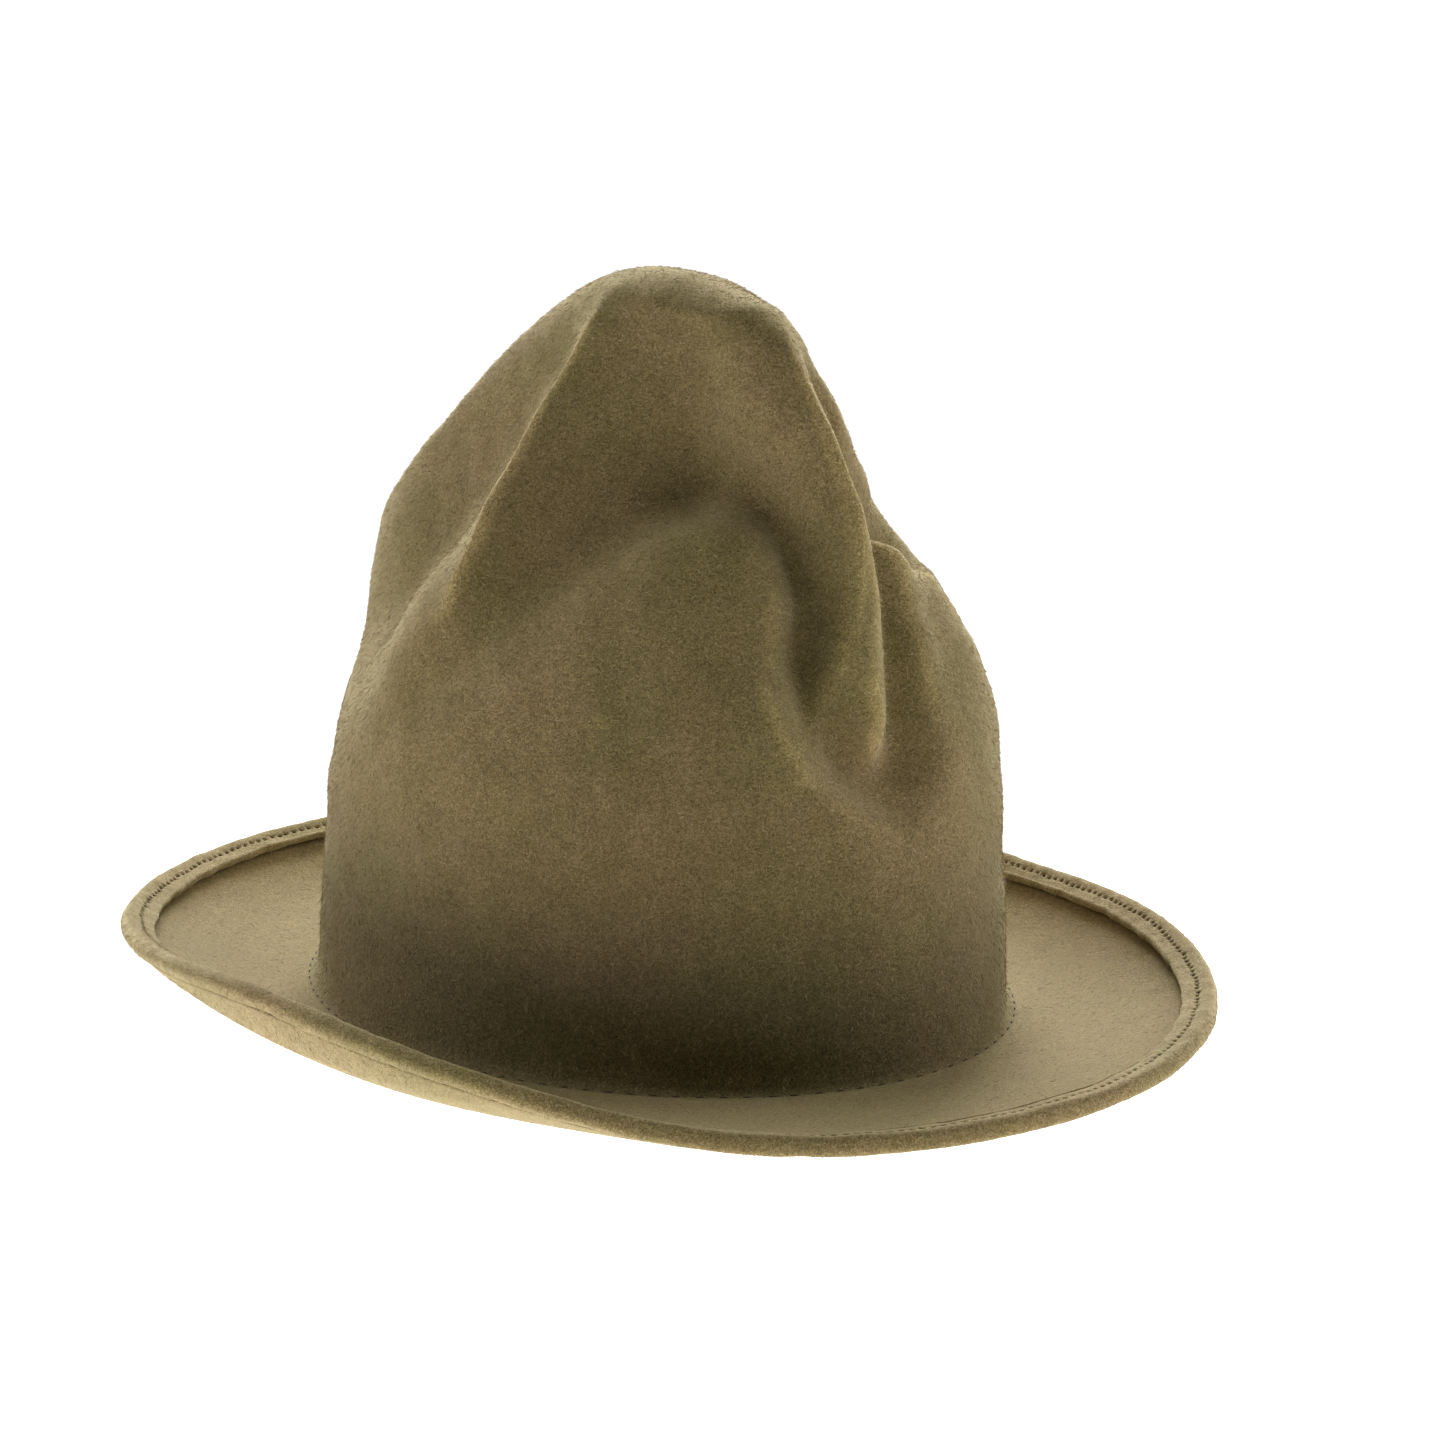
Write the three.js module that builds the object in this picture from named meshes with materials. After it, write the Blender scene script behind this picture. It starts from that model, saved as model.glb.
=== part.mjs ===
// Mountain hat of one piece of fur felt: a tall crown with pinched ridges and pushed-in dents, and a brim
// rolled up at the sides whose edge is folded onto the top side.
// Millimetres, +Z up, the front of the hat towards -Y. The underside of the brim at the foot of the crown is at z = 0.
import * as THREE from "three";

// ---- driving dimensions ----
const FELT = 2.5; // thickness of one layer of felt
const EDGE_THICKNESS = 5.2; // two layers where the edge is folded over
const FOLD_WIDTH = 5.7; // how far the folded edge reaches in from the middle of the edge, along the felt
const HEAD_HALF_LENGTH = 102.5; // outside of the crown at its foot, front to back
const HEAD_HALF_WIDTH = 83.5; // outside of the crown at its foot, side to side
const BRIM_HALF_LENGTH = 159; // middle of the brim's edge, front to back
const BRIM_HALF_WIDTH = 127; // middle of the brim's edge, side to side
const BRIM_SQUARENESS = 2.1; // 2 is an ellipse, more is fuller at the corners
const FLAT_SHARE = 0.2; // inner share of the brim's width that lies flat
const FOOT_RADIUS_FRONT = 2.2; // radius where crown and brim meet, at front and back
const FOOT_RADIUS_SIDE = 4.7; // the same at the sides
const FOOT_BLEND = 30; // height over which the dents fade out towards the foot
const RIDGE_ROUNDING = 1.8; // roundness of a ridge's crest
const CENTRE_X = 0; // the blocked shape is moved by this much, so that its outline is centred
const CENTRE_Y = 0.08;

// Level sections of the crown before it is dented. Height is over the top side of the brim, sideways is towards +X.
const SECTIONS = [
  { height: 0, forward: 0, sideways: 0, halfLength: HEAD_HALF_LENGTH, halfWidth: HEAD_HALF_WIDTH },
  { height: 35, forward: 0.2, sideways: 0.8, halfLength: 100, halfWidth: 82.8 },
  { height: 70, forward: 0.5, sideways: 1.5, halfLength: 95.2, halfWidth: 81.4 },
  { height: 95, forward: -1.2, sideways: 3.2, halfLength: 92.3, halfWidth: 75.7 },
  { height: 115, forward: -4.2, sideways: 1.6, halfLength: 87.3, halfWidth: 66.5 },
  { height: 130, forward: -3.5, sideways: 0.4, halfLength: 79.6, halfWidth: 55.2 },
  { height: 145, forward: -0.6, sideways: 0.2, halfLength: 70.9, halfWidth: 44.8 },
  { height: 160, forward: 3.4, sideways: 1.6, halfLength: 61.4, halfWidth: 37.1 },
  { height: 172, forward: 7.6, sideways: 2.5, halfLength: 52.2, halfWidth: 31 },
  { height: 182, forward: 12, sideways: 1.7, halfLength: 41.4, halfWidth: 25.2 },
  { height: 190, forward: 15, sideways: -0.8, halfLength: 27.5, halfWidth: 17.5 },
  { height: 194.6, forward: 16.5, sideways: -2.5, halfLength: 0, halfWidth: 0 },
];

// The brim's edge: how high its middle stands over the foot of the crown, and how late the brim turns up to it.
// Azimuth 0 is the front, 90 is the +X side.
const EDGE = [
  { azimuth: -180, rise: 9, power: 1.9 },
  { azimuth: -150, rise: 9, power: 1.9 },
  { azimuth: -120, rise: 15, power: 2.4 },
  { azimuth: -90, rise: 20.5, power: 2.8 },
  { azimuth: -60, rise: 15.5, power: 2.8 },
  { azimuth: -30, rise: 5.5, power: 2.1 },
  { azimuth: 0, rise: 5, power: 1.5 },
  { azimuth: 30, rise: 8, power: 1.5 },
  { azimuth: 60, rise: 11, power: 1.7 },
  { azimuth: 90, rise: 10, power: 1.9 },
  { azimuth: 120, rise: 12, power: 1.9 },
  { azimuth: 150, rise: 11, power: 1.9 },
];

// Folds of the crown. A valley is pushed in along a curved line, a ridge is pinched out along one.
// depth is outwards, so a valley's is negative. A row with mirror is made on both sides of the crown.
const FOLDS = [
  {
    name: "valley_round_front_ridge", kind: "valley", mirror: false,
    line: [
      { azimuth: -91, height: 94.5, depth: -3, width: 12 },
      { azimuth: -76.8, height: 111.4, depth: -6, width: 15 },
      { azimuth: -57.6, height: 133.2, depth: -10, width: 19 },
      { azimuth: -49, height: 146, depth: -13, width: 19 },
      { azimuth: -38.3, height: 149.5, depth: -15, width: 17 },
      { azimuth: -20.4, height: 151, depth: -16, width: 12.5 },
      { azimuth: -8, height: 139.5, depth: -14.5, width: 10 },
      { azimuth: -6.5, height: 121, depth: -13, width: 9 },
      { azimuth: -11.5, height: 105, depth: -12.5, width: 8.5 },
      { azimuth: -12, height: 94, depth: -12.5, width: 9 },
      { azimuth: -8.5, height: 83, depth: -11.5, width: 9.5 },
      { azimuth: -2, height: 76, depth: -11, width: 10 },
      { azimuth: 4, height: 77.5, depth: -11, width: 10 },
      { azimuth: 6.5, height: 87, depth: -12, width: 9.5 },
      { azimuth: 7.5, height: 97, depth: -12, width: 9 },
      { azimuth: 9.5, height: 108, depth: -11.5, width: 8.5 },
      { azimuth: 12.5, height: 120, depth: -10.5, width: 8 },
      { azimuth: 12, height: 134, depth: -10, width: 7.5 },
      { azimuth: 11, height: 150, depth: -9, width: 7.5 },
      { azimuth: 10, height: 165, depth: -6, width: 7.5 },
      { azimuth: 10, height: 178, depth: -2, width: 8 },
    ],
  },
  {
    name: "flank_of_front_bulge", kind: "valley", mirror: false,
    line: [
      { azimuth: -17, height: 128, depth: -1, width: 11 },
      { azimuth: -19, height: 116, depth: -2.2, width: 11 },
      { azimuth: -19, height: 104, depth: -1.2, width: 10 },
      { azimuth: -18, height: 94, depth: 0, width: 10 },
    ],
  },
  {
    name: "lip_of_front_bulge", kind: "ridge", mirror: false,
    line: [
      { azimuth: -22, height: 106, depth: 0, width: 8 },
      { azimuth: -21, height: 97, depth: 2, width: 8 },
      { azimuth: -19, height: 88.5, depth: 2.8, width: 8 },
      { azimuth: -15.5, height: 80, depth: 3, width: 8 },
      { azimuth: -11, height: 72.5, depth: 3, width: 8 },
      { azimuth: -5, height: 67, depth: 2.5, width: 8 },
      { azimuth: 2, height: 61, depth: 0, width: 8 },
    ],
  },
  {
    name: "valley_beside_front_ridge", kind: "valley", mirror: false,
    line: [
      { azimuth: 24, height: 124, depth: -3.5, width: 15 },
      { azimuth: 23, height: 110, depth: -5.5, width: 15 },
      { azimuth: 20, height: 97, depth: -5, width: 15 },
      { azimuth: 15, height: 86, depth: -3, width: 14 },
    ],
  },
  {
    name: "valley_over_right_shoulder", kind: "valley", mirror: false,
    line: [
      { azimuth: 14, height: 147, depth: -2, width: 9 },
      { azimuth: 25, height: 135.5, depth: -19, width: 10 },
      { azimuth: 38, height: 125, depth: -17, width: 12 },
      { azimuth: 52, height: 124, depth: -2, width: 13 },
      { azimuth: 66, height: 116, depth: -4, width: 14 },
      { azimuth: 80, height: 104, depth: -4.4, width: 13 },
    ],
  },
  { name: "front_face_dent", kind: "valley", mirror: false, line: [{ azimuth: -42, height: 167, depth: -6, width: 25 }] },
  {
    name: "front_face_trough", kind: "valley", mirror: false,
    line: [
      { azimuth: -45, height: 183, depth: -2, width: 13 },
      { azimuth: -42, height: 173, depth: -5.5, width: 15 },
      { azimuth: -38, height: 163, depth: -6.5, width: 15 },
      { azimuth: -34, height: 154, depth: -4, width: 13 },
    ],
  },
  { name: "front_right_face_dent", kind: "valley", mirror: false, line: [{ azimuth: 45, height: 174, depth: -9, width: 26 }] },
  {
    name: "left_face_dent", kind: "valley", mirror: false,
    line: [
      { azimuth: -115, height: 172, depth: -3.8, width: 15 },
      { azimuth: -116, height: 150, depth: -6.6, width: 18 },
      { azimuth: -118, height: 126, depth: -7.5, width: 18 },
      { azimuth: -118, height: 109, depth: -5.6, width: 13 },
    ],
  },
  {
    name: "back_face_dent", kind: "valley", mirror: true,
    line: [
      { azimuth: -132, height: 142, depth: -5, width: 32 },
      { azimuth: -130, height: 98, depth: -8, width: 24 },
    ],
  },
  { name: "right_shoulder_dent", kind: "valley", mirror: false, line: [{ azimuth: 50, height: 106.5, depth: -5.1, width: 18 }] },
  {
    name: "front_ridge", kind: "ridge", mirror: false,
    line: [
      { azimuth: 3.8, height: 187, depth: 0, width: 6 },
      { azimuth: -3.5, height: 178, depth: 4, width: 5.5 },
      { azimuth: -2.4, height: 166, depth: 6, width: 5.5 },
      { azimuth: 1, height: 150, depth: 7, width: 5.5 },
      { azimuth: 2, height: 136, depth: 8, width: 5.5 },
      { azimuth: -2.4, height: 118, depth: 8, width: 5.5 },
      { azimuth: -8, height: 105, depth: 7.5, width: 6 },
      { azimuth: -11.5, height: 95, depth: 6.5, width: 6.5 },
      { azimuth: -12, height: 86, depth: 3.5, width: 7 },
      { azimuth: -10, height: 78, depth: 0.5, width: 8 },
    ],
  },
  {
    name: "right_shoulder_crest", kind: "ridge", mirror: false,
    line: [
      { azimuth: 14, height: 131, depth: 3, width: 6 },
      { azimuth: 24, height: 126, depth: 7, width: 6 },
      { azimuth: 36, height: 118, depth: 7, width: 6.5 },
      { azimuth: 47, height: 114.5, depth: 5, width: 8.5 },
      { azimuth: 58, height: 106, depth: 2.5, width: 9 },
      { azimuth: 70, height: 96, depth: 0, width: 10 },
    ],
  },
  {
    name: "left_ridge", kind: "ridge", mirror: false,
    line: [
      { azimuth: -112.5, height: 188, depth: 1, width: 6 },
      { azimuth: -97.6, height: 178, depth: 5, width: 6 },
      { azimuth: -91.5, height: 163, depth: 7, width: 6.5 },
      { azimuth: -85.9, height: 146, depth: 8, width: 7 },
      { azimuth: -82.9, height: 128, depth: 8, width: 7.5 },
      { azimuth: -84.7, height: 114, depth: 7, width: 8 },
      { azimuth: -92, height: 104, depth: 4, width: 9 },
      { azimuth: -102.8, height: 98, depth: 1, width: 9 },
    ],
  },
  {
    name: "right_ridge", kind: "ridge", mirror: false,
    line: [
      { azimuth: 90, height: 189, depth: 0, width: 7 },
      { azimuth: 90, height: 167, depth: 4, width: 8 },
      { azimuth: 90, height: 140, depth: 5, width: 9 },
      { azimuth: 91, height: 122, depth: 5, width: 9 },
      { azimuth: 95, height: 102, depth: 1, width: 9 },
    ],
  },
  {
    name: "back_ridge", kind: "ridge", mirror: true,
    line: [
      { azimuth: -155, height: 186, depth: 0, width: 8 },
      { azimuth: -155, height: 160, depth: 3, width: 9 },
      { azimuth: -155, height: 130, depth: 3, width: 9 },
      { azimuth: -155, height: 112, depth: 1, width: 9 },
    ],
  },
];

// How finely the felt is divided.
const ROUND = 84; // columns round the hat
const FRONT_DENSITY = 0.35; // share by which the columns crowd towards the front
const ROWS = { crownOut: 22, foot: 2, brimTop: 4, fold: 2, rim: 4, brimUnder: 5, opening: 2, crownIn: 15 };

// ---- small helpers ----
const rad = (degrees) => (degrees * Math.PI) / 180;
const mix = (a, b, t) => a + (b - a) * t;
const smooth = (t) => t * t * (3 - 2 * t);
const crowd = (t) => t * (0.7 + 0.3 * t); // closer rows near the top of the crown, where the folds are
const clamp = (t, lo, hi) => Math.min(hi, Math.max(lo, t));
const sub = (a, b) => [a[0] - b[0], a[1] - b[1], a[2] - b[2]];
const cross = (a, b) => [a[1] * b[2] - a[2] * b[1], a[2] * b[0] - a[0] * b[2], a[0] * b[1] - a[1] * b[0]];
const dot = (a, b) => a[0] * b[0] + a[1] * b[1] + a[2] * b[2];
const unit = (a) => { const n = Math.hypot(...a) || 1; return a.map((v) => v / n); };

// A smooth curve through four neighbouring values.
const spline = (p0, p1, p2, p3, t) =>
  0.5 * (2 * p1 + (p2 - p0) * t + (2 * p0 - 5 * p1 + 4 * p2 - p3) * t * t + (3 * p1 - p0 - 3 * p2 + p3) * t ** 3);

// The same through rows of numbers, at u from 0 to rows.length - 1.
function through(rows, u) {
  const last = rows.length - 1;
  const before = rows[0].map((v, k) => 2 * v - rows[1][k]);
  const after = rows[last].map((v, k) => 2 * v - rows[last - 1][k]);
  const at = (i) => (i < 0 ? before : i > last ? after : rows[i]);
  const i = clamp(Math.floor(u), 0, last - 1);
  return rows[0].map((_, k) => spline(at(i - 1)[k], at(i)[k], at(i + 1)[k], at(i + 2)[k], u - i));
}

// ---- crown ----
// The profile is sampled once, evenly along its length, with s = 0 at the foot and s = 1 at the top.
const PROFILE = (() => {
  const rows = SECTIONS.map((r) => [r.height, r.forward, r.sideways, r.halfLength, r.halfWidth]);
  const below = rows[rows.length - 2];
  const top = rows[rows.length - 1];
  // the row beyond the top mirrors the one below it, so that the crown closes over round
  const beyond = [below[0], 2 * top[1] - below[1], 2 * top[2] - below[2], -below[3], -below[4]];
  const closed = [...rows, beyond];
  const samples = [];
  let s = 0;
  for (let k = 0; k <= 1200; k++) {
    const v = through(closed, ((rows.length - 1) * k) / 1200);
    v[3] = Math.max(0, v[3]);
    v[4] = Math.max(0, v[4]);
    if (k) {
      const w = samples[k - 1].v;
      s += Math.hypot(v[0] - w[0], (v[3] + v[4] - w[3] - w[4]) / 2);
    }
    samples.push({ s, v });
  }
  samples.forEach((r) => (r.s /= s));
  return samples;
})();

// Finds v at a value of key, between the samples.
function lookUp(key, value) {
  let lo = 0;
  let hi = PROFILE.length - 1;
  while (hi - lo > 1) {
    const mid = (lo + hi) >> 1;
    if (key(PROFILE[mid]) <= value) lo = mid;
    else hi = mid;
  }
  const a = PROFILE[lo];
  const b = PROFILE[hi];
  const t = clamp((value - key(a)) / (key(b) - key(a) || 1), 0, 1);
  return { s: mix(a.s, b.s, t), v: a.v.map((x, k) => mix(x, b.v[k], t)) };
}
const shareAt = (height) => lookUp((r) => r.v[0], height).s;

// The undented crown.
function dome(azimuth, s) {
  const [height, forward, sideways, a, b] = lookUp((r) => r.s, s).v;
  const sin = Math.sin(azimuth);
  const cos = Math.cos(azimuth);
  const r = (a * b) / Math.sqrt((a * sin) ** 2 + (b * cos) ** 2 + 1e-9);
  return [sideways + r * sin, -forward - r * cos, height];
}

function normalOf(surface, azimuth, s) {
  if (s > 1 - 1e-6) return [0, 0, 1];
  const e = 1e-3;
  const round = sub(surface(azimuth + e, s), surface(azimuth - e, s));
  const up = sub(surface(azimuth, Math.min(1, s + e)), surface(azimuth, Math.max(0, s - e)));
  return unit(cross(round, up));
}

// Each fold's line as points on the undented crown.
const LINES = FOLDS.flatMap((f) => (f.mirror ? [f, { ...f, line: f.line.map((p) => ({ ...p, azimuth: -p.azimuth })) }] : [f])).map((f) => {
  const rows = f.line.map((p) => [p.azimuth, p.height, p.depth, p.width]);
  const count = rows.length > 1 ? 8 * (rows.length - 1) : 0;
  const points = [];
  for (let k = 0; k <= count; k++) {
    const [azimuth, height, depth, width] = count ? through(rows, k / 8) : rows[0];
    points.push({ at: dome(rad(azimuth), shareAt(height)), depth, width: Math.max(2, width) });
  }
  const step = points.slice(1).map((p, k) => Math.hypot(...sub(p.at, points[k].at)));
  points.forEach((p, k) => (p.length = ((step[k - 1] || 0) + (step[k] || 0)) / 2));
  return { kind: f.kind, points };
});

// How far a fold moves a point out of the undented crown.
function foldDepth(line, at) {
  const { points } = line;
  if (points.length === 1) {
    const d = sub(at, points[0].at);
    return points[0].depth * Math.exp(-dot(d, d) / points[0].width ** 2);
  }
  if (line.kind === "ridge") {
    let best = { distance: Infinity };
    for (let k = 0; k + 1 < points.length; k++) {
      const a = points[k];
      const b = points[k + 1];
      const ab = sub(b.at, a.at);
      const t = clamp(dot(sub(at, a.at), ab) / dot(ab, ab), 0, 1);
      const distance = Math.hypot(...sub(at, a.at.map((v, i) => v + ab[i] * t)));
      if (distance < best.distance) best = { distance, depth: mix(a.depth, b.depth, t), width: mix(a.width, b.width, t) };
    }
    return best.depth * Math.exp(-(Math.hypot(best.distance, RIDGE_ROUNDING) - RIDGE_ROUNDING) / best.width);
  }
  const POWER = 4;
  let sum = 0;
  for (const p of points) {
    const d = sub(at, p.at);
    const share = p.length / (p.width * Math.sqrt(Math.PI / POWER));
    sum += share * (Math.abs(p.depth) * Math.exp(-dot(d, d) / p.width ** 2)) ** POWER;
  }
  return -(sum ** (1 / POWER));
}

// The outside of the felt crown, over the top side of the brim.
function crown(azimuth, s) {
  const at = dome(azimuth, s);
  const n = normalOf(dome, azimuth, s);
  const depth = LINES.reduce((sum, line) => sum + foldDepth(line, at), 0) * smooth(clamp(at[2] / FOOT_BLEND, 0, 1));
  return at.map((v, k) => v + n[k] * depth);
}

// ---- brim, as radius and height at one azimuth ----
function edgeAt(azimuth) {
  const n = EDGE.length;
  const u = ((azimuth + Math.PI) / (2 * Math.PI)) * n;
  const i = Math.floor(u);
  const row = (k) => EDGE[(((i + k) % n) + n) % n];
  const value = (key) => spline(row(-1)[key], row(0)[key], row(1)[key], row(2)[key], u - i);
  return { rise: value("rise"), power: value("power") };
}
const oval = (azimuth, a, b, n) => (Math.abs(Math.sin(azimuth) / b) ** n + Math.abs(Math.cos(azimuth) / a) ** n) ** (-1 / n);

// The top side of a single layer, with u = 0 at the crown's foot and u = 1 at the middle of the edge.
function brimTop(azimuth, u) {
  const inner = oval(azimuth, HEAD_HALF_LENGTH, HEAD_HALF_WIDTH, 2);
  const outer = oval(azimuth, BRIM_HALF_LENGTH, BRIM_HALF_WIDTH, BRIM_SQUARENESS);
  const { rise, power } = edgeAt(azimuth);
  return [mix(inner, outer, u), rise * Math.max(0, (u - FLAT_SHARE) / (1 - FLAT_SHARE)) ** power];
}
function brimFrame(azimuth, u) {
  const e = 1e-4;
  const [r, z] = brimTop(azimuth, u);
  const [r2, z2] = brimTop(azimuth, u + e);
  const [r1, z1] = brimTop(azimuth, u - e);
  const length = Math.hypot(r2 - r1, z2 - z1);
  return { r, z, along: [(r2 - r1) / length, (z2 - z1) / length] };
}
// The share u at a distance in from the middle of the edge, measured along the felt.
function inward(azimuth, distance) {
  let u = 1 - distance / (brimTop(azimuth, 1)[0] - brimTop(azimuth, 0)[0]);
  for (let k = 0; k < 3; k++) {
    const [r1, z1] = brimTop(azimuth, (1 + u) / 2 - 1e-3);
    const [r2, z2] = brimTop(azimuth, (1 + u) / 2 + 1e-3);
    u = 1 - (distance * 2e-3) / Math.hypot(r2 - r1, z2 - z1);
  }
  return u;
}
// A point off the top side by a distance, upwards where it is positive.
function brimOff(azimuth, u, distance) {
  const { r, z, along } = brimFrame(azimuth, u);
  return [r - along[1] * distance, z + along[0] * distance];
}

// ---- the whole felt as rows from the top of the crown, out round the rim and back up inside ----
function column(azimuth) {
  const place = ([r, z]) => [r * Math.sin(azimuth), -r * Math.cos(azimuth), z];
  const side = Math.sin(azimuth) ** 2;
  const footRadius = mix(FOOT_RADIUS_FRONT, FOOT_RADIUS_SIDE, side);
  const inner = oval(azimuth, HEAD_HALF_LENGTH, HEAD_HALF_WIDTH, 2);
  const width = brimTop(azimuth, 1)[0] - inner;
  const rows = [];

  const lowest = shareAt(footRadius + 5);
  for (let k = 1; k <= ROWS.crownOut; k++) rows.push(crown(azimuth, mix(1, lowest, crowd(k / ROWS.crownOut))));
  for (let k = 0; k <= ROWS.foot; k++) {
    const turn = Math.PI * (1 + k / ROWS.foot / 2);
    rows.push(place([inner + footRadius * (1 + Math.cos(turn)), footRadius * (1 + Math.sin(turn))]));
  }
  const uFoot = footRadius / width;
  const uFold = inward(azimuth, FOLD_WIDTH);
  for (let k = 1; k <= ROWS.brimTop; k++) rows.push(place(brimOff(azimuth, mix(uFoot, uFold, k / ROWS.brimTop), 0)));
  for (let k = 0; k <= ROWS.fold; k++)
    rows.push(place(brimOff(azimuth, mix(uFold + 0.004, 1, k / ROWS.fold), EDGE_THICKNESS - FELT)));
  const { along } = brimFrame(azimuth, 1);
  const middle = brimOff(azimuth, 1, EDGE_THICKNESS / 2 - FELT);
  for (let k = 1; k < ROWS.rim; k++) {
    const turn = Math.PI * (0.5 - k / ROWS.rim);
    const half = EDGE_THICKNESS / 2;
    rows.push(place([
      middle[0] + half * (Math.cos(turn) * along[0] - Math.sin(turn) * along[1]),
      middle[1] + half * (Math.cos(turn) * along[1] + Math.sin(turn) * along[0]),
    ]));
  }
  for (let k = 0; k < ROWS.brimUnder; k++) rows.push(place(brimOff(azimuth, mix(1, FLAT_SHARE, k / (ROWS.brimUnder - 1)), -FELT)));
  const turnRadius = footRadius + FELT;
  for (let k = 0; k <= ROWS.opening; k++) {
    const turn = Math.PI * (1.5 - k / ROWS.opening / 2);
    rows.push(place([inner + footRadius + turnRadius * Math.cos(turn), footRadius + turnRadius * Math.sin(turn)]));
  }
  for (let k = 0; k < ROWS.crownIn; k++) {
    const s = mix(1, lowest, crowd(1 - k / ROWS.crownIn));
    const at = crown(azimuth, s);
    const n = normalOf(dome, azimuth, s);
    // a steep wall is set back further, so that its felt keeps its thickness
    const back = FELT / Math.max(0.45, dot(n, normalOf(crown, azimuth, s)));
    rows.push(at.map((v, i) => v - n[i] * back));
  }
  return rows;
}

function feltBody() {
  const top = crown(0, 1);
  const columns = [];
  for (let i = 0; i < ROUND; i++) {
    const even = (2 * Math.PI * i) / ROUND - Math.PI;
    columns.push(column(even - FRONT_DENSITY * Math.sin(even)));
  }
  const count = columns[0].length;
  const positions = columns.flat().concat([top, [top[0], top[1], top[2] - FELT]]);
  const flat = positions.flatMap(([x, y, z]) => [x + CENTRE_X, y + CENTRE_Y, z + FELT]);
  const topOut = ROUND * count;
  const topIn = topOut + 1;
  const id = (i, j) => (i % ROUND) * count + j;
  const index = [];
  for (let i = 0; i < ROUND; i++) {
    index.push(topOut, id(i, 0), id(i + 1, 0));
    for (let j = 0; j + 1 < count; j++)
      index.push(id(i, j), id(i, j + 1), id(i + 1, j + 1), id(i, j), id(i + 1, j + 1), id(i + 1, j));
    index.push(topIn, id(i + 1, count - 1), id(i, count - 1));
  }
  const geometry = new THREE.BufferGeometry();
  geometry.setAttribute("position", new THREE.Float32BufferAttribute(flat, 3));
  geometry.setIndex(index);
  geometry.computeVertexNormals();
  const felt = new THREE.MeshStandardMaterial({ color: 0x7a6a45, roughness: 0.95, metalness: 0 });
  const mesh = new THREE.Mesh(geometry, felt);
  mesh.name = "felt_body";
  return mesh;
}

const hat = new THREE.Group();
hat.name = "mountain_hat";
hat.add(feltBody());
export default hat;
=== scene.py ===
import bpy
import math
import numpy as np
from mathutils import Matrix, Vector


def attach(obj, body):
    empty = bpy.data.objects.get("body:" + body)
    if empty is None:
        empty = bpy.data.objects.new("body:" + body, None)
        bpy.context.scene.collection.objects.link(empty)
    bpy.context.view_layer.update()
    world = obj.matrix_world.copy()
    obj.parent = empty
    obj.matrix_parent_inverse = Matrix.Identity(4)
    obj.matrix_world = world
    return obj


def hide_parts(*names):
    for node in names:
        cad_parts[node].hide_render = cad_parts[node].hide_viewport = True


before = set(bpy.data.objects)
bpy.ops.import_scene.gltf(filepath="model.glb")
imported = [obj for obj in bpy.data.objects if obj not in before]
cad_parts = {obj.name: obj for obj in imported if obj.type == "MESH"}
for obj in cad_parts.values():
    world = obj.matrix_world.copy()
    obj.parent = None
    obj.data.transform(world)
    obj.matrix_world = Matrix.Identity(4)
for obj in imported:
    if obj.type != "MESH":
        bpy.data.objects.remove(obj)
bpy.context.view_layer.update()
rng = np.random.default_rng(71)

# ---------------------------------------------------------------------------------------------------------------------
# Driving dimensions of the hat, in millimetres, the same as the CAD solid's. +Z up, the front towards -Y.
# ---------------------------------------------------------------------------------------------------------------------
FELT = 2.5
EDGE_THICKNESS = 5.2
FOLD_WIDTH = 5.7
HEAD_HALF_LENGTH = 102.5
HEAD_HALF_WIDTH = 83.5
BRIM_HALF_LENGTH = 159.0
BRIM_HALF_WIDTH = 127.0
BRIM_SQUARENESS = 2.1
FLAT_SHARE = 0.2
FOOT_RADIUS_FRONT = 2.2
FOOT_RADIUS_SIDE = 4.7
FOOT_BLEND = 30.0
RIDGE_ROUNDING = 1.8
CENTRE = np.array([0.0, 0.08, FELT])

# height over the brim's top side, shift forward, shift to the +X side, half length, half width
SECTIONS = [
    (0, 0, 0, HEAD_HALF_LENGTH, HEAD_HALF_WIDTH),
    (35, 0.2, 0.8, 100, 82.8),
    (70, 0.5, 1.5, 95.2, 81.4),
    (95, -1.2, 3.2, 92.3, 75.7),
    (115, -4.2, 1.6, 87.3, 66.5),
    (130, -3.5, 0.4, 79.6, 55.2),
    (145, -0.6, 0.2, 70.9, 44.8),
    (160, 3.4, 1.6, 61.4, 37.1),
    (172, 7.6, 2.5, 52.2, 31),
    (182, 12, 1.7, 41.4, 25.2),
    (190, 15, -0.8, 27.5, 17.5),
    (194.6, 16.5, -2.5, 0, 0),
]
# azimuth, rise of the edge, how late the brim turns up
EDGE = [
    (-180, 9, 1.9), (-150, 9, 1.9), (-120, 15, 2.4), (-90, 20.5, 2.8), (-60, 15.5, 2.8), (-30, 5.5, 2.1),
    (0, 5, 1.5), (30, 8, 1.5), (60, 11, 1.7), (90, 10, 1.9), (120, 12, 1.9), (150, 11, 1.9),
]
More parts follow.
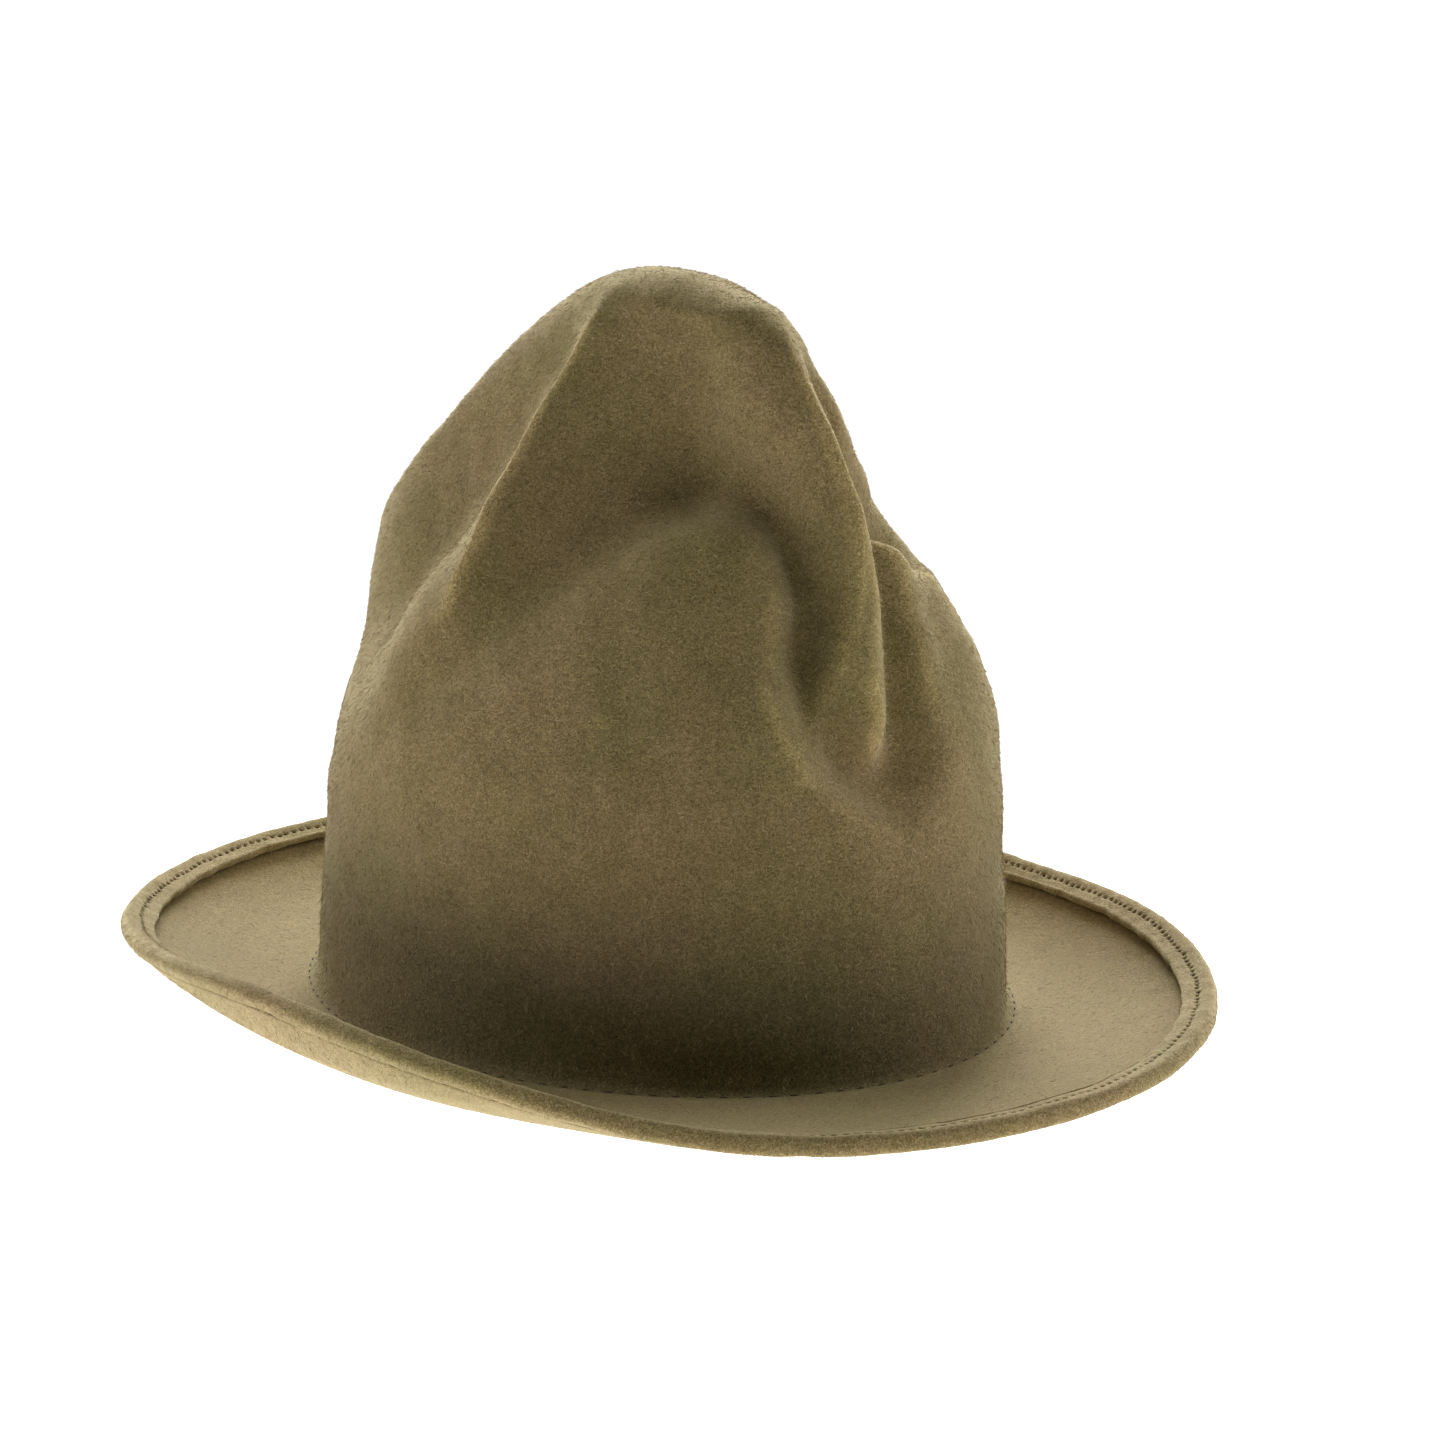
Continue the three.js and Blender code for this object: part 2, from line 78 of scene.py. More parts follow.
# name, kind, mirrored, line of (azimuth, height, depth, width)
FOLDS = [
    ("valley_round_front_ridge", "valley", False, [
        (-91, 94.5, -3, 12), (-76.8, 111.4, -6, 15), (-57.6, 133.2, -10, 19), (-49, 146, -13, 19),
        (-38.3, 149.5, -15, 17), (-20.4, 151, -16, 12.5), (-8, 139.5, -14.5, 10), (-6.5, 121, -13, 9),
        (-11.5, 105, -12.5, 8.5), (-12, 94, -12.5, 9), (-8.5, 83, -11.5, 9.5), (-2, 76, -11, 10),
        (4, 77.5, -11, 10), (6.5, 87, -12, 9.5), (7.5, 97, -12, 9), (9.5, 108, -11.5, 8.5),
        (12.5, 120, -10.5, 8), (12, 134, -10, 7.5), (11, 150, -9, 7.5), (10, 165, -6, 7.5), (10, 178, -2, 8)]),
    ("flank_of_front_bulge", "valley", False, [
        (-17, 128, -1, 11), (-19, 116, -2.2, 11), (-19, 104, -1.2, 10), (-18, 94, 0, 10)]),
    ("lip_of_front_bulge", "ridge", False, [
        (-22, 106, 0, 8), (-21, 97, 2, 8), (-19, 88.5, 2.8, 8), (-15.5, 80, 3, 8), (-11, 72.5, 3, 8), (-5, 67, 2.5, 8),
        (2, 61, 0, 8)]),
    ("valley_beside_front_ridge", "valley", False, [
        (24, 124, -3.5, 15), (23, 110, -5.5, 15), (20, 97, -5, 15), (15, 86, -3, 14)]),
    ("valley_over_right_shoulder", "valley", False, [
        (14, 147, -2, 9), (25, 135.5, -19, 10), (38, 125, -17, 12), (52, 124, -2, 13), (66, 116, -4, 14), (80, 104, -4.4, 13)]),
    ("front_face_dent", "valley", False, [(-42, 167, -6, 25)]),
    ("front_face_trough", "valley", False, [(-45, 183, -2, 13), (-42, 173, -5.5, 15), (-38, 163, -6.5, 15), (-34, 154, -4, 13)]),
    ("front_right_face_dent", "valley", False, [(45, 174, -9, 26)]),
    ("left_face_dent", "valley", False, [
        (-115, 172, -3.8, 15), (-116, 150, -6.6, 18), (-118, 126, -7.5, 18), (-118, 109, -5.6, 13)]),
    ("back_face_dent", "valley", True, [(-132, 142, -5, 32), (-130, 98, -8, 24)]),
    ("right_shoulder_dent", "valley", False, [(50, 106.5, -5.1, 18)]),
    ("front_ridge", "ridge", False, [
        (3.8, 187, 0, 6), (-3.5, 178, 4, 5.5), (-2.4, 166, 6, 5.5), (1, 150, 7, 5.5), (2, 136, 8, 5.5),
        (-2.4, 118, 8, 5.5), (-8, 105, 7.5, 6), (-11.5, 95, 6.5, 6.5), (-12, 86, 3.5, 7), (-10, 78, 0.5, 8)]),
    ("right_shoulder_crest", "ridge", False, [
        (14, 131, 3, 6), (24, 126, 7, 6), (36, 118, 7, 6.5), (47, 114.5, 5, 8.5), (58, 106, 2.5, 9), (70, 96, 0, 10)]),
    ("left_ridge", "ridge", False, [
        (-112.5, 188, 1, 6), (-97.6, 178, 5, 6), (-91.5, 163, 7, 6.5), (-85.9, 146, 8, 7), (-82.9, 128, 8, 7.5),
        (-84.7, 114, 7, 8), (-92, 104, 4, 9), (-102.8, 98, 1, 9)]),
    ("right_ridge", "ridge", False, [
        (90, 189, 0, 7), (90, 167, 4, 8), (90, 140, 5, 9), (91, 122, 5, 9), (95, 102, 1, 9)]),
    ("back_ridge", "ridge", True, [(-155, 186, 0, 8), (-155, 160, 3, 9), (-155, 130, 3, 9), (-155, 112, 1, 9)]),
]


# ---------------------------------------------------------------------------------------------------------------------
# The shape of the felt, as functions of azimuth (0 the front, 90 degrees +X)
# ---------------------------------------------------------------------------------------------------------------------
def spline(p0, p1, p2, p3, t):
    return 0.5 * (2 * p1 + (p2 - p0) * t + (2 * p0 - 5 * p1 + 4 * p2 - p3) * t * t + (3 * p1 - p0 - 3 * p2 + p3) * t ** 3)


def through(rows, u):
    rows = np.asarray(rows, float)
    u = np.asarray(u, float)
    last = len(rows) - 1
    wide = np.vstack([2 * rows[0] - rows[1], rows, 2 * rows[last] - rows[last - 1]])
    i = np.clip(np.floor(u).astype(int), 0, last - 1)
    t = (u - i)[:, None]
    return spline(wide[i], wide[i + 1], wide[i + 2], wide[i + 3], t)


def unit(v):
    return v / np.maximum(np.linalg.norm(v, axis=-1, keepdims=True), 1e-12)


def smooth(t):
    return t * t * (3 - 2 * t)


def profile():
    rows = [list(map(float, r)) for r in SECTIONS]
    below, top = rows[-2], rows[-1]
    rows.append([below[0], 2 * top[1] - below[1], 2 * top[2] - below[2], -below[3], -below[4]])
    v = through(rows, (len(SECTIONS) - 1) * np.arange(1201) / 1200)
    v[:, 3:] = np.maximum(0, v[:, 3:])
    d = np.diff(v, axis=0)
    s = np.concatenate([[0], np.cumsum(np.hypot(d[:, 0], (d[:, 3] + d[:, 4]) / 2))])
    return s / s[-1], v


PROFILE_S, PROFILE_V = profile()


def share_at(height):
    return np.interp(height, PROFILE_V[:, 0], PROFILE_S)


def dome(azimuth, s):
    height, forward, sideways, a, b = (np.interp(s, PROFILE_S, PROFILE_V[:, k]) for k in range(5))
    sin, cos = np.sin(azimuth), np.cos(azimuth)
    r = (a * b) / np.sqrt((a * sin) ** 2 + (b * cos) ** 2 + 1e-9)
    return np.stack([sideways + r * sin, -forward - r * cos, height], -1)


def normal_of(surface, azimuth, s):
    e = 1e-3
    around = surface(azimuth + e, s) - surface(azimuth - e, s)
    up = surface(azimuth, np.minimum(1, s + e)) - surface(azimuth, np.maximum(0, s - e))
    n = unit(np.cross(around, up))
    n[s > 1 - 1e-6] = (0, 0, 1)
    return n


def fold_lines():
    lines = []
    for _, kind, mirror, rows in FOLDS:
        for sign in (1, -1) if mirror else (1,):
            line = np.array([(sign * az, h, d, w) for az, h, d, w in rows], float)
            if len(line) > 1:
                line = through(line, np.arange(8 * (len(rows) - 1) + 1) / 8)
            at = dome(np.radians(line[:, 0]), share_at(line[:, 1]))
            step = np.linalg.norm(np.diff(at, axis=0), axis=1)
            length = (np.concatenate([[0], step]) + np.concatenate([step, [0]])) / 2
            lines.append((kind, at, line[:, 2], np.maximum(2, line[:, 3]), length))
    return lines


LINES = fold_lines()


def fold_depth(at):
    total = np.zeros(len(at))
    for kind, points, depth, width, length in LINES:
        if len(points) == 1:
            d2 = ((at - points[0]) ** 2).sum(1)
            total += depth[0] * np.exp(-d2 / width[0] ** 2)
        elif kind == "ridge":
            best = np.full(len(at), np.inf)
            its_depth = np.zeros(len(at))
            its_width = np.ones(len(at))
            for k in range(len(points) - 1):
                ab = points[k + 1] - points[k]
                t = np.clip(((at - points[k]) @ ab) / (ab @ ab), 0, 1)
                dist = np.linalg.norm(at - points[k] - t[:, None] * ab, axis=1)
                near = dist < best
                best = np.where(near, dist, best)
                its_depth = np.where(near, depth[k] + (depth[k + 1] - depth[k]) * t, its_depth)
                its_width = np.where(near, width[k] + (width[k + 1] - width[k]) * t, its_width)
            total += its_depth * np.exp(-(np.hypot(best, RIDGE_ROUNDING) - RIDGE_ROUNDING) / its_width)
        else:
            power = 4
            sums = np.zeros(len(at))
            for k in range(len(points)):
                d2 = ((at - points[k]) ** 2).sum(1)
                share = length[k] / (width[k] * math.sqrt(math.pi / power))
                sums += share * (abs(depth[k]) * np.exp(-d2 / width[k] ** 2)) ** power
            total -= sums ** (1 / power)
    return total


def crown(azimuth, s):
    at = dome(azimuth, s)
    n = normal_of(dome, azimuth, s)
    fade = smooth(np.clip(at[:, 2] / FOOT_BLEND, 0, 1))
    return at + n * (fold_depth(at) * fade)[:, None]


def oval(azimuth, a, b, n):
    return (np.abs(np.sin(azimuth) / b) ** n + np.abs(np.cos(azimuth) / a) ** n) ** (-1 / n)


EDGE_ROWS = np.array(EDGE, float)


def edge_at(azimuth):
    n = len(EDGE_ROWS)
    u = ((azimuth + math.pi) / (2 * math.pi)) * n
    i = np.floor(u).astype(int)
    t = (u - i)[:, None]
    row = [EDGE_ROWS[(i + k) % n][:, 1:] for k in (-1, 0, 1, 2)]
    v = spline(*row, t)
    return v[:, 0], v[:, 1]


def head_radius(azimuth):
    return oval(azimuth, HEAD_HALF_LENGTH, HEAD_HALF_WIDTH, 2)


def brim_width(azimuth):
    return oval(azimuth, BRIM_HALF_LENGTH, BRIM_HALF_WIDTH, BRIM_SQUARENESS) - head_radius(azimuth)


def brim_top(azimuth, u):
    rise, power = edge_at(azimuth)
    late = np.maximum(0, (u - FLAT_SHARE) / (1 - FLAT_SHARE))
    return head_radius(azimuth) + brim_width(azimuth) * u, rise * late ** power


def brim_frame(azimuth, u):
    e = 1e-4
    r, z = brim_top(azimuth, u)
    r2, z2 = brim_top(azimuth, u + e)
    r1, z1 = brim_top(azimuth, u - e)
    length = np.hypot(r2 - r1, z2 - z1)
    return r, z, (r2 - r1) / length, (z2 - z1) / length


def brim_off(azimuth, u, distance):
    r, z, ar, az = brim_frame(azimuth, u)
    return r - az * distance, z + ar * distance


def inward(azimuth, distance):
    """Share of the brim's width at a distance in from the middle of the edge, measured along the felt."""
    u = 1 - distance / brim_width(azimuth)
    for _ in range(3):
        middle = (1 + u) / 2
        r1, z1 = brim_top(azimuth, middle - 1e-3)
        r2, z2 = brim_top(azimuth, middle + 1e-3)
        u = 1 - distance * 2e-3 / np.hypot(r2 - r1, z2 - z1)
    return u


def place(azimuth, rz):
    r, z = rz
    return np.stack([r * np.sin(azimuth), -r * np.cos(azimuth), z + 0 * r], -1)


# ---------------------------------------------------------------------------------------------------------------------
# Mesh helpers
# ---------------------------------------------------------------------------------------------------------------------
def mesh_object(name, verts, faces, smooth_shading=True, uv=None, values={}):
    """verts in millimetres; faces is an array of triangles or of quads; uv is one pair for each corner of each face;
    values has a number for each vertex under each of its names."""
    verts = np.asarray(verts, float)
    faces = np.asarray(faces, np.int32)
    count, corners = faces.shape
    me = bpy.data.meshes.new(name)
    me.vertices.add(len(verts))
    me.vertices.foreach_set("co", (verts * 0.001).astype(np.float32).ravel())
    me.loops.add(count * corners)
    me.polygons.add(count)
    me.polygons.foreach_set("loop_start", np.arange(0, count * corners, corners, dtype=np.int32))
    me.loops.foreach_set("vertex_index", faces.ravel())
    me.update(calc_edges=True)
    me.polygons.foreach_set("use_smooth", np.full(count, smooth_shading, dtype=bool))
    if uv is not None:
        layer = me.uv_layers.new(name="OFBake")
        layer.data.foreach_set("uv", np.asarray(uv, np.float32).ravel())
    for key, value in values.items():
        me.attributes.new(key, "FLOAT", "POINT").data.foreach_set("value", np.asarray(value, np.float32))
    me.update()
    ob = bpy.data.objects.new(name, me)
    bpy.context.scene.collection.objects.link(ob)
    return ob


def grid_faces(columns, rows):
    """Quads of a grid that closes on itself round the hat: vertex = column * rows + row."""
    i = np.arange(columns)[:, None]
    j = np.arange(rows - 1)[None, :]
    k = (i + 1) % columns
    return np.stack([i * rows + j, i * rows + j + 1, k * rows + j + 1, k * rows + j], -1).reshape(-1, 4)


# ---------------------------------------------------------------------------------------------------------------------
# The crown and the single layer of the brim
# ---------------------------------------------------------------------------------------------------------------------
COLUMNS = 400
even = 2 * math.pi * np.arange(COLUMNS) / COLUMNS - math.pi
AZ = even - 0.30 * np.sin(even)

# Where the row of stitches runs, as distances in from the middle of the edge
STITCH_IN = 1.9
UNDER_STITCH_IN = 1.9


def slow_waves(p, scale, seed, octaves=4):
    """A smooth random field from -1 to 1 with waves about scale millimetres long."""
    r = np.random.default_rng(seed)
    total = np.zeros(len(p))
    for k in range(octaves * 4):
        direction = unit(r.normal(size=3))
        total += np.sin(p @ direction * (2 * math.pi / (scale * r.uniform(0.6, 1.6))) + r.uniform(0, 2 * math.pi))
    return total / math.sqrt(octaves * 4 / 2) / 2


def body_rows():
    az = AZ
    side = np.sin(az) ** 2
    foot = FOOT_RADIUS_FRONT + (FOOT_RADIUS_SIDE - FOOT_RADIUS_FRONT) * side
    inner = head_radius(az)
    width = brim_width(az)
    u_foot = foot / width
    lowest = share_at(foot + 5)
    rows = []

    def crowd(t):
        return t * (0.75 + 0.25 * t)

    count = 118
    for k in range(1, count + 1):
        rows.append(crown(az, 1 + (lowest - 1) * crowd(k / count)))
    # the steep wall down to the fillet, then the fillet
    low_points = [rows[-1]]
    for t in (0.35, 0.7):
        s = lowest + (share_at(foot) - lowest) * t
        rows.append(crown(az, s))
    turns = 9
    for k in range(turns + 1):
        turn = math.pi * (1 + k / turns / 2)
        rows.append(place(az, (inner + foot * (1 + math.cos(turn)), foot * (1 + math.sin(turn)))))
    # brim, top side, to well under the folded edge
    count = 30
    u_end = inward(az, FOLD_WIDTH - 3.0)
    for k in range(1, count + 1):
        rows.append(place(az, brim_off(az, u_foot + (u_end - u_foot) * k / count, 0)))
    top_end = len(rows)
    # underside, from the row of stitches inwards; its edge tucks up into the stitched groove
    under = []
    for across, depth in ((0.5, 1.5), (0.2, 0.8), (-0.1, 0.36), (-0.4, 0.13), (-0.8, 0.03)):
        under.append(place(az, brim_off(az, inward(az, UNDER_STITCH_IN - across), -FELT + depth)))
    u_start = inward(az, UNDER_STITCH_IN + 1.4)
    count = 26
    for k in range(count + 1):
        under.append(place(az, brim_off(az, u_start + (FLAT_SHARE - u_start) * k / count, -FELT)))
    turn_radius = foot + FELT
    u_turn = foot / width
    for k in range(1, 5):
        under.append(place(az, brim_off(az, FLAT_SHARE + (u_turn - FLAT_SHARE) * k / 5, -FELT)))
    for k in range(7):
        turn = math.pi * (1.5 - k / 6 / 2)
        under.append(place(az, (inner + foot + turn_radius * math.cos(turn), foot + turn_radius * math.sin(turn))))
    count = 44
    for k in range(count):
        s = 1 + (lowest - 1) * crowd(1 - k / count)
        at = crown(az, s)
        n = normal_of(dome, az, s)
        facing = (n * normal_of(crown, az, s)).sum(1)
        under.append(at - n * (FELT / np.maximum(0.45, facing))[:, None])
    return rows, top_end, under


outer_rows, TOP_END, under_rows = body_rows()
outer = np.stack(outer_rows, 1)  # columns x rows x 3
under = np.stack(under_rows, 1)

# slight unevenness of hand-shaped felt, fading out at the foot
flat_outer = outer.reshape(-1, 3)
uneven = 0.45 * slow_waves(flat_outer, 34, 5) + 0.22 * slow_waves(flat_outer, 13, 6)
uneven *= smooth(np.clip((flat_outer[:, 2] - 8) / 40, 0, 1))


def grid_normals(grid):
    """Outward normals of a closed grid, columns x rows x 3."""
    around = np.roll(grid, -1, 0) - np.roll(grid, 1, 0)
    down = np.empty_like(grid)
    down[:, 1:-1] = grid[:, 2:] - grid[:, :-2]
    down[:, 0] = grid[:, 1] - grid[:, 0]
    down[:, -1] = grid[:, -1] - grid[:, -2]
    return unit(np.cross(down, around))


outer = outer + grid_normals(outer) * uneven.reshape(outer.shape[:2])[..., None]
apex = crown(np.zeros(1), np.ones(1))[0]

# The two sheets are one mesh: it closes at the top of the crown, outside and inside.
outer_count = outer.shape[1]
under_count = under.shape[1]
verts = np.concatenate([outer.reshape(-1, 3), under.reshape(-1, 3), [apex, apex - (0, 0, FELT)]]) + CENTRE
faces_outer = grid_faces(COLUMNS, outer_count)
faces_under = grid_faces(COLUMNS, under_count) + COLUMNS * outer_count
top_out = len(verts) - 2
top_in = len(verts) - 1
fan_i = np.arange(COLUMNS)
fan_k = (fan_i + 1) % COLUMNS
fan_out = np.stack([np.full(COLUMNS, top_out), fan_i * outer_count, fan_k * outer_count], -1)
base = COLUMNS * outer_count
fan_in = np.stack([
    np.full(COLUMNS, top_in),
    base + fan_k * under_count + under_count - 1,
    base + fan_i * under_count + under_count - 1,
], -1)


def path_shares(grid):
    step = np.linalg.norm(np.diff(grid, axis=1), axis=2).mean(0)
    s = np.concatenate([[0], np.cumsum(step)])
    return s / s[-1]


def strip_uv(columns, rows, shares, v0, v1):
    i = np.repeat(np.arange(columns), rows - 1)
    j = np.tile(np.arange(rows - 1), columns)
    u0, u1 = i / columns, (i + 1) / columns
    a, b = v0 + (v1 - v0) * shares[j], v0 + (v1 - v0) * shares[j + 1]
    return np.stack([np.stack([u0, a], -1), np.stack([u0, b], -1), np.stack([u1, b], -1), np.stack([u1, a], -1)], 1)


def triangles_of(quads):
    return np.concatenate([quads[:, [0, 1, 2]], quads[:, [0, 2, 3]]])


def triangle_uv(uv):
    return np.concatenate([uv[:, [0, 1, 2]], uv[:, [0, 2, 3]]])


uv_outer = strip_uv(COLUMNS, outer_count, path_shares(outer), 0.505, 0.995)
uv_under = strip_uv(COLUMNS, under_count, path_shares(under), 0.495, 0.005)
fan_u = np.stack([(fan_i + 0.5) / COLUMNS, fan_i / COLUMNS, (fan_i + 1) / COLUMNS], -1)
uv_fan_out = np.stack([fan_u, np.tile([0.501, 0.505, 0.505], (COLUMNS, 1))], -1)
uv_fan_in = np.stack([fan_u[:, [0, 2, 1]], np.tile([0.001, 0.005, 0.005], (COLUMNS, 1))], -1)
tri = np.concatenate([triangles_of(faces_outer), triangles_of(faces_under), fan_out, fan_in])
tri_uv = np.concatenate([triangle_uv(uv_outer), triangle_uv(uv_under), uv_fan_out, uv_fan_in])


def bending(grid):
    """How convex a closed grid is at each point, in degrees of turn over about 8 mm, sideways or down it."""
    turn = np.full(grid.shape[:2], 0.0)
    n = grid_normals(grid)
    for axis, reach in ((0, 1), (0, 2), (1, 1), (1, 2)):
        a, b = np.roll(grid, -reach, axis), np.roll(grid, reach, axis)
        na, nb = np.roll(n, -reach, axis), np.roll(n, reach, axis)
        span = np.maximum(1.0, np.linalg.norm(a - b, axis=2))
        bend = ((na - nb) * (a - b)).sum(2) / span
        bend = np.degrees(bend) * 8.0 / np.maximum(span, 4.0)
        if axis == 1:
            bend[:, :3] = 0
            bend[:, -3:] = 0
        turn = np.maximum(turn, bend)
    return turn


# painted highlight: where the outer felt bends outwards, along the ridges and crests, its colour is lightened
convex = bending(outer)
convex[:, 118:] = 0
painted_ridge_highlight_outer = smooth(np.clip((convex - 26.0) / 50.0, 0, 1)) * smooth(np.clip((np.arange(outer_count) - 16) / 14.0, 0, 1))
painted_ridge_highlight = np.concatenate([painted_ridge_highlight_outer.ravel(), np.zeros(COLUMNS * under_count), [0.0, 0.0]])
# painted shade: the felt's colour is darkened towards the foot of the crown, where the brim shades it
row_heights = outer[:, :, 2].mean(0)
FOOT_SHADE_ROWS = smooth(np.clip((66.0 - row_heights) / 46.0, 0, 1)) * (np.arange(outer_count) < 129)
foot = np.concatenate([np.tile(FOOT_SHADE_ROWS, COLUMNS), np.zeros(COLUMNS * under_count), [0.0, 0.0]])
# the brim's top side is pressed smoother than the crown
pressed = np.concatenate([np.tile(smooth(np.clip((np.arange(outer_count) - 126) / 6.0, 0, 1)), COLUMNS),
                          np.zeros(COLUMNS * under_count), [0.0, 0.0]])
felt = mesh_object("felt_crown_and_brim", verts, tri, uv=tri_uv,
                   values={"painted_ridge_highlight": painted_ridge_highlight, "foot": foot, "pressed": pressed})

# ---------------------------------------------------------------------------------------------------------------------
# The folded edge: raw inner edge, stitched groove, rounded rim, underside to the stitched groove
# ---------------------------------------------------------------------------------------------------------------------
EDGE_COLUMNS = 1800
EAZ = 2 * math.pi * np.arange(EDGE_COLUMNS) / EDGE_COLUMNS - math.pi


def arc_length(radius_in):
    """Length along the edge, at a distance in from its middle, at each column."""
    p = place(EAZ, brim_off(EAZ, inward(EAZ, radius_in), 0))
    step = np.linalg.norm(np.roll(p, -1, 0) - p, axis=1)
    return np.concatenate([[0], np.cumsum(step)])


def stitch_places(radius_in, pitch, jitter, seed):
    """Azimuths of the middles of the stitches."""
    s = arc_length(radius_in)
    count = int(round(s[-1] / pitch))
    r = np.random.default_rng(seed)
    at = (np.arange(count) + 0.5) * s[-1] / count + r.uniform(-jitter, jitter, count)
    return at, s


def edge_strip():
    off = EDGE_THICKNESS - FELT
    half = EDGE_THICKNESS / 2
    fold = FOLD_WIDTH
    rows = []
    kinds = []
    # under the fold, from deep inside the gap out to the raw edge
    for across, height in ((fold - 2.8, 0.40), (fold - 1.4, 0.85), (fold - 0.5, 1.15), (fold + 0.15, 1.22), (fold + 0.42, 1.34),
                           (fold + 0.52, 1.6), (fold + 0.52, 2.1), (fold + 0.42, 2.5), (fold + 0.1, 2.8), (fold - 0.5, 2.9)):
        rows.append((across, height))
        kinds.append("lip")
    for across in np.arange(fold - 1.0, 0.2, -0.36):
        rows.append((across, off))
        kinds.append("top")
    rim = 15
    points = []
    for k in range(rim + 1):
        # a rim that is a little squarer than a half circle
        turn = math.pi * (0.5 - k / rim)
        c, s = math.cos(turn), math.sin(turn)
        square = 2.5
        c2 = abs(c) ** (2 / square)
        s2 = abs(s) ** (2 / square) * (1 if s > 0 else -1)
        rows.append((-half * c2, off - half + half * s2))
        kinds.append("rim")
    for across in (0.45, 0.9):
        rows.append((across, -FELT))
        kinds.append("under")
    for across, height in ((UNDER_STITCH_IN - 0.6, 0.03), (UNDER_STITCH_IN - 0.3, 0.12), (UNDER_STITCH_IN, 0.4),
                           (UNDER_STITCH_IN + 0.25, 0.9), (UNDER_STITCH_IN + 0.6, 1.5)):
        rows.append((across, -FELT + height))
        kinds.append("tuck")

    stitches, s = stitch_places(STITCH_IN, 2.75, 0.28, 11)
    side_step = np.random.default_rng(12).uniform(-0.25, 0.25, len(stitches))
    here = s[:-1]
    near = np.clip(np.searchsorted(stitches, here), 1, len(stitches) - 1)
    near = np.where(np.abs(stitches[near - 1] - here) < np.abs(stitches[near] - here), near - 1, near)
    along = here - stitches[near]
    wander = 0.25 * np.sin(here / 37.0) + 0.12 * np.sin(here / 11.3 + 1.0)
    line_in = STITCH_IN + wander + side_step[near] * np.exp(-(along / 1.2) ** 2)
    lift = 0.14 * np.sin(here / 23.0 + 0.4) + 0.07 * np.sin(here / 9.1)
    ragged = 0.10 * np.sin(here / 5.3) + 0.09 * np.sin(here / 2.9 + 2.0) + 0.10 * np.sin(here / 1.7 + 0.7)

    grid = []
    for (across, height), kind in zip(rows, kinds):
        a = np.full(EDGE_COLUMNS, float(across))
        h = np.full(EDGE_COLUMNS, float(height))
        if kind == "lip":
            a = a + ragged * min(1.0, max(0.0, (across - fold + 1.6) / 1.6)) + 0.5 * np.sin(here / 41.0)
            h = h + lift * min(1.0, height / 1.2) * 0.8
        if kind in ("top", "lip"):
            d = a - line_in
            h = h - 0.10 * np.exp(-(d / 0.9) ** 2)
            h = h - 0.95 * np.exp(-(d ** 2 + along ** 2) / 0.48 ** 2)
            if kind == "top":
                h = h + lift * 0.8 * min(1.0, max(0.0, (across - 2.6) / 3.0))
        grid.append(place(EAZ, brim_off(EAZ, inward(EAZ, a), h)))
    return np.stack(grid, 1), kinds, dict(stitches=stitches, s=s, side=side_step)


edge, EDGE_KINDS, EDGE_STITCH = edge_strip()
edge_normals = grid_normals(edge)
flat_edge = edge.reshape(-1, 3)
bumpy = 0.10 * slow_waves(flat_edge, 7, 21) + 0.16 * slow_waves(flat_edge, 24, 22)
edge = edge + edge_normals * bumpy.reshape(edge.shape[:2])[..., None]
edge_count = edge.shape[1]


def banded_uv(columns, rows, shares, bands):
    i = np.repeat(np.arange(columns), rows - 1)
    j = np.tile(np.arange(rows - 1), columns)
    per = columns // bands
    band = i // per
    local = i - band * per
    u0, u1 = 0.004 + 0.992 * local / per, 0.004 + 0.992 * (local + 1) / per
    a = (band + 0.02 + 0.96 * shares[j]) / bands
    b = (band + 0.02 + 0.96 * shares[j + 1]) / bands
    return np.stack([np.stack([u0, a], -1), np.stack([u0, b], -1), np.stack([u1, b], -1), np.stack([u1, a], -1)], 1)


edge_faces = grid_faces(EDGE_COLUMNS, edge_count)
edge_uv = banded_uv(EDGE_COLUMNS, edge_count, path_shares(edge), 5)
folded_edge = mesh_object("folded_edge", flat_edge * 0 + edge.reshape(-1, 3) + CENTRE, edge_faces, uv=edge_uv)


# ---------------------------------------------------------------------------------------------------------------------
# Threads: round pieces that dip into the felt at both ends
# ---------------------------------------------------------------------------------------------------------------------
def thread_mesh(name, centres, radius, sides=6):
    """centres is stitches x points x 3: each stitch is a round thread along its points."""
    n, m, _ = centres.shape
    tangent = np.empty_like(centres)
    tangent[:, 1:-1] = centres[:, 2:] - centres[:, :-2]
    tangent[:, 0] = centres[:, 1] - centres[:, 0]
    tangent[:, -1] = centres[:, -1] - centres[:, -2]
    tangent = unit(tangent)
    reference = np.array([0.0, 0.0, 1.0]) + 0 * tangent
    one = unit(np.cross(tangent, reference))
    two = np.cross(tangent, one)
    turns = 2 * math.pi * np.arange(sides) / sides
    ring = centres[:, :, None] + radius * (
        np.cos(turns)[None, None, :, None] * one[:, :, None] + np.sin(turns)[None, None, :, None] * two[:, :, None])
    vert = ring.reshape(-1, 3)
    vert[:, 2] = np.maximum(0.02 - FELT, vert[:, 2])
    q = []
    i = np.arange(n)[:, None, None]
    j = np.arange(m - 1)[None, :, None]
    k = np.arange(sides)[None, None, :]
    k2 = (k + 1) % sides
    at = lambda jj, kk: (i * m + jj) * sides + kk
    q = np.stack([at(j, k) + 0 * k2, at(j, k2) + 0 * k, at(j + 1, k2) + 0 * k, at(j + 1, k) + 0 * k2], -1).reshape(-1, 4)
    return mesh_object(name, vert + CENTRE, q)


